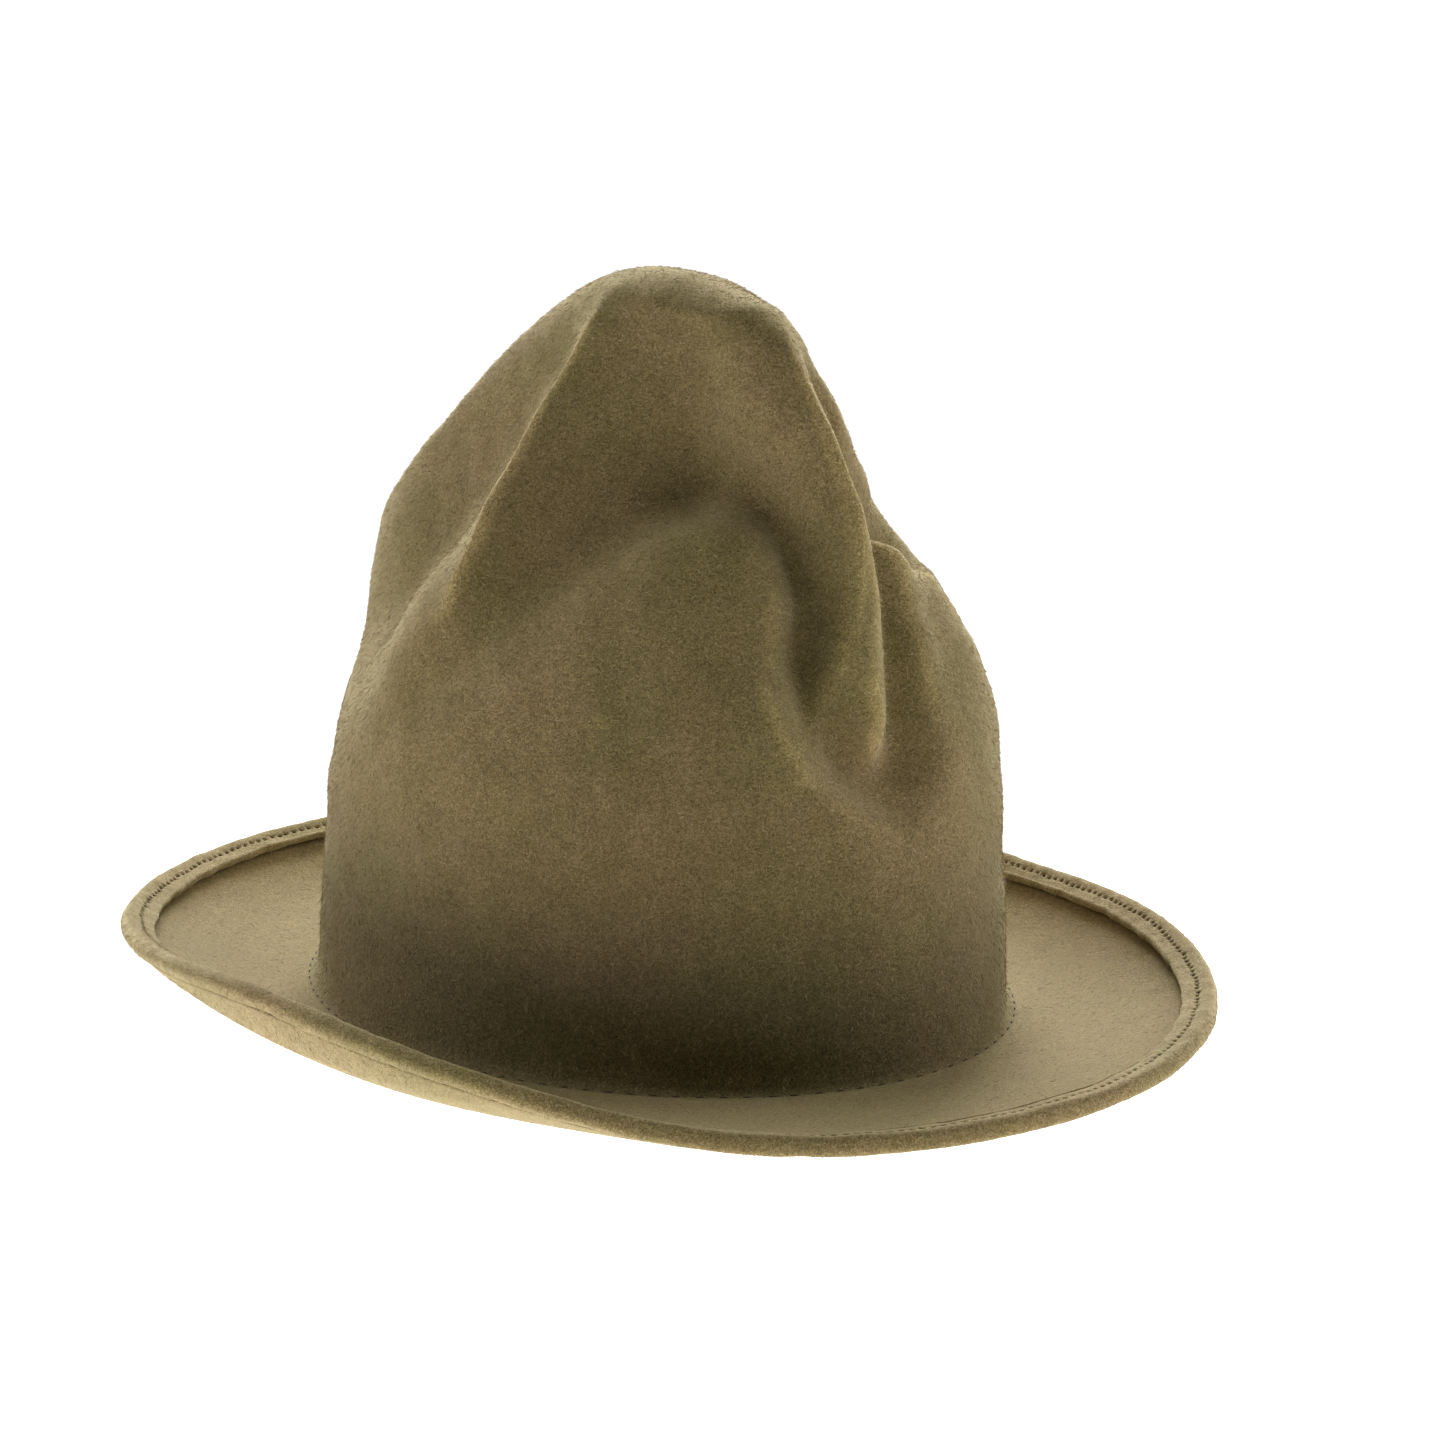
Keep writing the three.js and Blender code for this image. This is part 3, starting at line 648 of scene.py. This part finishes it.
def stitched_row(name, stitches, s, across, distance, half_length, dip, radius, side=None, lean=0.0):
    """A row of stitches along the edge; distance is off the brim's top side."""
    points = 9
    t = np.linspace(-1, 1, points)
    all_points = []
    total = s[-1]
    columns = np.concatenate([EAZ, [EAZ[0] + 2 * math.pi]])
    for k in range(points):
        where = (stitches + half_length * t[k]) % total
        az = np.interp(where, s, columns)
        a = across + 0.25 * np.sin(where / 37.0) + 0.12 * np.sin(where / 11.3 + 1.0) + lean * t[k]
        if side is not None:
            a = a + side
        height = distance + dip * (1 - abs(t[k]) ** 3) - (0.9 if dip > 0 else -0.9) * (abs(t[k]) ** 5)
        all_points.append(place(az, brim_off(az, inward(az, a), height)))
    return thread_mesh(name, np.stack(all_points, 1), radius)


threads_top = stitched_row(
    "edge_stitches_top", EDGE_STITCH["stitches"], EDGE_STITCH["s"], STITCH_IN, EDGE_THICKNESS - FELT - 0.52, 0.34, 0.12, 0.3,
    side=EDGE_STITCH["side"])
under_at, under_s = stitch_places(UNDER_STITCH_IN, 5.5, 0.3, 15)
threads_under = stitched_row(
    "edge_stitches_under", under_at, under_s, UNDER_STITCH_IN - 0.05, -FELT + 0.42, 1.4, -0.12, 0.2)


def foot_stitches():
    """The row of small stitches that runs round the foot of the crown, just outside the fold line."""
    az = np.linspace(-math.pi, math.pi, 3601)
    foot = FOOT_RADIUS_FRONT + (FOOT_RADIUS_SIDE - FOOT_RADIUS_FRONT) * np.sin(az) ** 2
    ring = place(az, (head_radius(az) + foot * 0.9, 0 * az))
    s = np.concatenate([[0], np.cumsum(np.linalg.norm(np.diff(ring, axis=0), axis=1))])
    count = int(round(s[-1] / 5.9))
    r = np.random.default_rng(31)
    middles = (np.arange(count) + 0.5) * s[-1] / count + r.uniform(-0.4, 0.4, count)
    points = 7
    t = np.linspace(-1, 1, points)
    out = []
    for k in range(points):
        where = np.mod(middles + 1.35 * t[k], s[-1])
        a = np.interp(where, s, az)
        f = FOOT_RADIUS_FRONT + (FOOT_RADIUS_SIDE - FOOT_RADIUS_FRONT) * np.sin(a) ** 2
        turn = math.pi * 1.42
        height = f * (1 + math.sin(turn)) + 0.10 * (1 - abs(t[k]) ** 3) - 0.55 * abs(t[k]) ** 4
        out.append(place(a, (head_radius(a) + f * (1 + math.cos(turn)), height)))
    return thread_mesh("foot_stitches", np.stack(out, 1), 0.17)


threads_foot = foot_stitches()


# ---------------------------------------------------------------------------------------------------------------------
# Nap: short fibres that stand out of the felt, each one thin triangle
# ---------------------------------------------------------------------------------------------------------------------
def quad_data(grid, weight):
    nxt = np.roll(grid, -1, 0)
    a, b, c, d = grid[:, :-1], grid[:, 1:], nxt[:, 1:], nxt[:, :-1]
    n = np.cross(c - a, d - b) / 2
    area = np.linalg.norm(n, axis=-1)
    w = area * weight[None, :-1]
    flat = lambda x: x.reshape(-1, 3)
    return flat(a), flat(b), flat(c), flat(d), flat(unit(n)), w.ravel()


def nap_points(sources, count, generator):
    """Random points over the given surfaces, by weight, with their normals."""
    parts = [np.concatenate(x) for x in zip(*sources)]
    a, b, c, d, n, w = parts
    chosen = generator.choice(len(w), count, p=w / w.sum())
    x, y = generator.random((2, count, 1))
    point = (a[chosen] * (1 - x) + d[chosen] * x) * (1 - y) + (b[chosen] * (1 - x) + c[chosen] * x) * y
    return point, n[chosen]


outer_weight = np.ones(outer_count)
outer_weight[TOP_END - 3:] = 0.0
under_weight = np.ones(under_count)
under_weight[:4] = 0.0
under_weight[38:] = 0.25
edge_weight = np.array([0.0 if k == "tuck" else 0.35 if k == "lip" else 1.1 for k in EDGE_KINDS])
edge_weight[:4] = 0.0
OTHERS = [quad_data(under, under_weight), quad_data(edge, edge_weight)]


def nap(name, count, seed, length, width, lift, spread, twist, foot_shade_share, on_brim):
    """Fibres lie down the crown and outwards along the brim, each turned from that way by some of spread radians;
    twist turns their flat sides from the felt's own way. The two last arguments say how thick they stand at the foot
    of the crown and on the brim; fewer light and more dark fibres at the foot are painted shade."""
    g = np.random.default_rng(seed)
    share = outer_weight * (1 + (foot_shade_share - 1) * FOOT_SHADE_ROWS) * np.where(np.arange(outer_count) < 129, 1, on_brim)
    point, n = nap_points([quad_data(outer, share)] + OTHERS, count, g)
    outwards = unit(point * (1, 1, 0))
    brim = (np.abs(n[:, 2:]) > 0.75) & (point[:, 2:] < 40)
    way = np.where(brim, outwards, (0, 0, -1.0)) + 0.001
    way = unit(way - (way * n).sum(1, keepdims=True) * n)
    turn = g.normal(0, spread, count)[:, None] + 0.5 * slow_waves(point, 45, 9)[:, None]
    flat = way * np.cos(turn) + np.cross(n, way) * np.sin(turn)
    angle = np.radians(np.clip(g.gamma(2.0, lift / 2.0, count), 3, 80))[:, None] * np.where(brim, 0.45, 1.0)
    direction = flat * np.cos(angle) + n * np.sin(angle)
    long = (length * np.exp(g.normal(0, 0.38, count)))[:, None] * np.where(brim, 0.62, 1.0)
    across = unit(np.cross(direction, unit(n + twist * g.normal(size=(count, 3)))))
    wide = (width * g.uniform(0.7, 1.3, count))[:, None] * np.where(brim, 0.8, 1.0)
    root = point - n * 0.08
    tip = root + direction * long
    v = np.stack([root - across * wide / 2, root + across * wide / 2, tip], 1).reshape(-1, 3) + CENTRE
    v[:, 2] = np.maximum(0.0, v[:, 2])
    return mesh_object(name, v, np.arange(3 * count).reshape(-1, 3), smooth_shading=False)


SHARE = 1.0
# painted shade: the light nap is thinned and the dark nap thickened at the foot of the crown
nap_light = nap("nap_light", int(195000 * SHARE), 41, 1.3, 0.12, 26, 0.8, 1.5, 0.5, 1.0)
nap_middle = nap("nap_middle", int(195000 * SHARE), 42, 1.4, 0.13, 16, 0.8, 0.8, 0.8, 1.0)
nap_dark = nap("nap_dark", int(170000 * SHARE), 43, 1.2, 0.10, 8, 0.7, 0.6, 1.4, 0.35)


# ---------------------------------------------------------------------------------------------------------------------
# Materials
# ---------------------------------------------------------------------------------------------------------------------
def new_material(name):
    m = bpy.data.materials.new(name)
    m.use_nodes = True
    nodes, links = m.node_tree.nodes, m.node_tree.links
    shader = next(n for n in nodes if n.type == "BSDF_PRINCIPLED")
    return m, nodes, links, shader


def put(node, name, value):
    node.inputs[name].default_value = value


def noise(nodes, links, vector, scale, detail, roughness, distortion=0.0):
    n = nodes.new("ShaderNodeTexNoise")
    put(n, "Scale", scale)
    put(n, "Detail", detail)
    put(n, "Roughness", roughness)
    put(n, "Distortion", distortion)
    links.new(vector, n.inputs["Vector"])
    return n.outputs["Fac"]


def ramp(nodes, links, value, stops):
    r = nodes.new("ShaderNodeValToRGB")
    cr = r.color_ramp
    while len(cr.elements) > len(stops):
        cr.elements.remove(cr.elements[-1])
    while len(cr.elements) < len(stops):
        cr.elements.new(0.5)
    for e, (at, colour) in zip(cr.elements, stops):
        e.position = at
        e.color = (*colour, 1)
    links.new(value, r.inputs["Fac"])
    return r.outputs["Color"]


def mixed(nodes, links, kind, factor, a, b):
    m = nodes.new("ShaderNodeMix")
    m.data_type = "RGBA"
    m.blend_type = kind
    m.clamp_factor = True
    if isinstance(factor, (int, float)):
        m.inputs[0].default_value = factor
    else:
        links.new(factor, m.inputs[0])
    links.new(a, m.inputs[6])
    links.new(b, m.inputs[7])
    return m.outputs[2]


def felt_material(name, dark, middle, light, sheen_weight, sheen_tint):
    m, nodes, links, shader = new_material(name)
    where = nodes.new("ShaderNodeTexCoord").outputs["Object"]
    # fine fibres, a little stretched one way and tangled by the distortion
    stretch = nodes.new("ShaderNodeMapping")
    put(stretch, "Scale", (1.0, 1.0, 1.7))
    links.new(where, stretch.inputs["Vector"])
    fibres = noise(nodes, links, stretch.outputs["Vector"], 1150, 3.0, 0.65, 1.4)
    specks = noise(nodes, links, where, 2300, 2.0, 0.6, 0.6)
    mottle = noise(nodes, links, where, 120, 4.0, 0.6, 0.4)
    cloud = noise(nodes, links, where, 22, 3.0, 0.5, 0.2)
    base = ramp(nodes, links, fibres, [(0.32, dark), (0.50, middle), (0.68, light)])
    grain = ramp(nodes, links, specks, [(0.32, (0.58, 0.56, 0.52)), (0.5, (1.0, 1.0, 1.0)), (0.70, (1.5, 1.46, 1.38))])
    patches = ramp(nodes, links, mottle, [(0.3, (0.88, 0.88, 0.84)), (0.7, (1.10, 1.10, 1.12))])
    broad = ramp(nodes, links, cloud, [(0.35, (0.95, 0.985, 0.90)), (0.65, (1.08, 1.02, 1.08))])
    colour = mixed(nodes, links, "MULTIPLY", 1.0, base, grain)
    colour = mixed(nodes, links, "MULTIPLY", 1.0, colour, patches)
    colour = mixed(nodes, links, "MULTIPLY", 1.0, colour, broad)
    # painted highlight: lighter colour along the ridges and crests
    ridge_highlight_input = nodes.new("ShaderNodeAttribute")
    ridge_highlight_input.attribute_name = "painted_ridge_highlight"
    ridge_highlight_gain = ramp(nodes, links, ridge_highlight_input.outputs["Fac"], [(0.0, (1.0, 1.0, 1.0)), (1.0, (1.5, 1.49, 1.47))])
    colour = mixed(nodes, links, "MULTIPLY", 1.0, colour, ridge_highlight_gain)
    # painted shade: the colour is darkened towards the foot of the crown
    foot_shade_input = nodes.new("ShaderNodeAttribute")
    foot_shade_input.attribute_name = "foot"
    painted_foot_shade = ramp(nodes, links, foot_shade_input.outputs["Fac"], [(0.0, (1.0, 1.0, 1.0)), (1.0, (0.73, 0.745, 0.81))])
    colour = mixed(nodes, links, "MULTIPLY", 1.0, colour, painted_foot_shade)
    even = nodes.new("ShaderNodeAttribute")
    even.attribute_name = "pressed"
    browner = ramp(nodes, links, even.outputs["Fac"], [(0.0, (1.0, 1.0, 1.0)), (1.0, (0.77, 0.715, 0.565))])
    colour = mixed(nodes, links, "MULTIPLY", 1.0, colour, browner)
    links.new(colour, shader.inputs["Base Color"])
    rough = nodes.new("ShaderNodeMapRange")
    put(rough, "From Min", 0.3)
    put(rough, "From Max", 0.7)
    put(rough, "To Min", 1.0)
    put(rough, "To Max", 0.86)
    links.new(fibres, rough.inputs["Value"])
    links.new(rough.outputs["Result"], shader.inputs["Roughness"])
    put(shader, "Specular IOR Level", 0.15)
    put(shader, "Sheen Weight", sheen_weight)
    put(shader, "Sheen Roughness", 0.35)
    put(shader, "Sheen Tint", (*sheen_tint, 1))

    def relief(full, least):
        """Strength of a bump, full on the crown and least on the pressed brim."""
        r = nodes.new("ShaderNodeMapRange")
        put(r, "To Min", full)
        put(r, "To Max", least)
        links.new(even.outputs["Fac"], r.inputs["Value"])
        return r.outputs["Result"]

    bump_a = nodes.new("ShaderNodeBump")
    links.new(relief(0.25, 0.08), bump_a.inputs["Strength"])
    put(bump_a, "Distance", 0.0003)
    links.new(mottle, bump_a.inputs["Height"])
    bump_b = nodes.new("ShaderNodeBump")
    links.new(relief(0.55, 0.26), bump_b.inputs["Strength"])
    put(bump_b, "Distance", 0.00035)
    links.new(fibres, bump_b.inputs["Height"])
    links.new(bump_a.outputs["Normal"], bump_b.inputs["Normal"])
    bump_c = nodes.new("ShaderNodeBump")
    put(bump_c, "Strength", 0.4)
    put(bump_c, "Distance", 0.0002)
    links.new(specks, bump_c.inputs["Height"])
    links.new(bump_b.outputs["Normal"], bump_c.inputs["Normal"])
    links.new(bump_c.outputs["Normal"], shader.inputs["Normal"])
    return m


def plain_material(name, colour, roughness, sheen=0.0):
    m, nodes, links, shader = new_material(name)
    put(shader, "Base Color", (*colour, 1))
    put(shader, "Roughness", roughness)
    put(shader, "Specular IOR Level", 0.2)
    put(shader, "Sheen Weight", sheen)
    return m


FELT_DARK = (0.126, 0.095, 0.036)
FELT_MIDDLE = (0.214, 0.166, 0.068)
FELT_LIGHT = (0.335, 0.270, 0.130)
felt_finish = felt_material("fur_felt", FELT_DARK, FELT_MIDDLE, FELT_LIGHT, 0.8, (1.0, 0.88, 0.55))
thread_finish = plain_material("thread", (0.16, 0.125, 0.065), 0.8, 0.1)
# painted shade: the stitches on the edge's top and at the foot are darkened far below the thread under the brim, for
# the shade in their holes
hole_shade_finish = plain_material("thread_darkened_for_hole_shade", (0.07, 0.052, 0.028), 0.9)
light_finish = plain_material("nap_light", (0.53, 0.43, 0.235), 0.7)
middle_finish = plain_material("nap_middle", (0.29, 0.226, 0.103), 0.75)
dark_finish = plain_material("nap_dark", (0.139, 0.105, 0.045), 0.8)

pieces = [
    (felt, felt_finish), (folded_edge, felt_finish),
    (threads_top, hole_shade_finish), (threads_under, thread_finish), (threads_foot, hole_shade_finish),
    (nap_light, light_finish), (nap_middle, middle_finish), (nap_dark, dark_finish),
]
for piece, finish in pieces:
    piece.data.materials.append(finish)
    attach(piece, "root")
    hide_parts("felt_body")

# ---------------------------------------------------------------------------------------------------------------------
# Floor, light and camera
# ---------------------------------------------------------------------------------------------------------------------
floor_mesh = bpy.data.meshes.new("floor")
floor_mesh.from_pydata([(-9, -9, 0), (9, -9, 0), (9, 9, 0), (-9, 9, 0)], [], [(0, 1, 2, 3)])
floor = bpy.data.objects.new("floor", floor_mesh)
bpy.context.scene.collection.objects.link(floor)
floor_finish = plain_material("floor", (0.55, 0.545, 0.55), 0.95)
floor_shader = next(n for n in floor_finish.node_tree.nodes if n.type == "BSDF_PRINCIPLED")
put(floor_shader, "Emission Color", (1.0, 0.985, 1.0, 1))
floor_nodes, floor_links = floor_finish.node_tree.nodes, floor_finish.node_tree.links
# painted light: the floor glows, most of all under the hat, where the glow lights the brim's underside and fills its
# shadow
floor_at = floor_nodes.new("ShaderNodeVectorMath")
floor_at.operation = "LENGTH"
floor_links.new(floor_nodes.new("ShaderNodeTexCoord").outputs["Object"], floor_at.inputs[0])
glow = floor_nodes.new("ShaderNodeMapRange")
put(glow, "From Min", 0.34)
put(glow, "From Max", 0.60)
put(glow, "To Min", 0.84)
put(glow, "To Max", 0.5)
floor_links.new(floor_at.outputs["Value"], glow.inputs["Value"])
glow_under = floor_nodes.new("ShaderNodeMapRange")
put(glow_under, "From Min", 0.15)
put(glow_under, "From Max", 0.24)
put(glow_under, "To Min", 1.2)
put(glow_under, "To Max", 0.0)
floor_links.new(floor_at.outputs["Value"], glow_under.inputs["Value"])
both = floor_nodes.new("ShaderNodeMath")
both.operation = "ADD"
floor_links.new(glow.outputs["Result"], both.inputs[0])
floor_links.new(glow_under.outputs["Result"], both.inputs[1])
floor_links.new(both.outputs["Value"], floor_shader.inputs["Emission Strength"])
floor_mesh.materials.append(floor_finish)

world = bpy.data.worlds.new("studio")
world.use_nodes = True
world.node_tree.nodes["Background"].inputs["Color"].default_value = (0.96, 0.97, 1.0, 1)
world.node_tree.nodes["Background"].inputs["Strength"].default_value = 0.06
bpy.context.scene.world = world

CAM_AZ = math.radians(-38)
CAM_EL = math.radians(14)


def toward(azimuth, elevation):
    """Unit vector from the hat towards a light at that azimuth (0 the front of the hat) and elevation, in degrees."""
    a, e = math.radians(azimuth), math.radians(elevation)
    return Vector((math.sin(a) * math.cos(e), -math.cos(a) * math.cos(e), math.sin(e)))


def sun(name, azimuth, elevation, strength, angle, colour=(1, 1, 1)):
    data = bpy.data.lights.new(name, "SUN")
    data.energy = strength
    data.angle = math.radians(angle)
    data.color = colour
    ob = bpy.data.objects.new(name, data)
    ob.rotation_euler = toward(azimuth, elevation).to_track_quat("Z", "Y").to_euler()
    ob.location = toward(azimuth, elevation) * 2
    bpy.context.scene.collection.objects.link(ob)
    return ob


# azimuths are round the hat; the camera stands at -38
sun("back", -38 + 180, 27, 4.8, 36)
sun("top", -38 + 180, 66, 0.65, 70)
sun("back_wall", -38 + 180, 12, 1.0, 80)
sun("left_side", -38 - 107, 26, 1.6, 50)
sun("right_side", -38 + 107, 26, 1.7, 50)

camera_data = bpy.data.cameras.new("camera")
camera_data.sensor_fit = "HORIZONTAL"
camera_data.sensor_width = 36.0
camera_data.lens = 5339 / 1440 * 36.0
camera_data.clip_start = 0.05
camera_data.clip_end = 50
camera = bpy.data.objects.new("camera", camera_data)
back = Vector((math.sin(CAM_AZ) * math.cos(CAM_EL), -math.cos(CAM_AZ) * math.cos(CAM_EL), math.sin(CAM_EL)))
target = Vector((0.01292, -0.01002, 0.0747))
camera.location = target + back * 1.4
camera.rotation_euler = back.to_track_quat("Z", "Y").to_euler()
bpy.context.scene.collection.objects.link(camera)
bpy.context.scene.camera = camera

bpy.context.scene.view_settings.view_transform = "Standard"
bpy.context.scene.view_settings.look = "None"
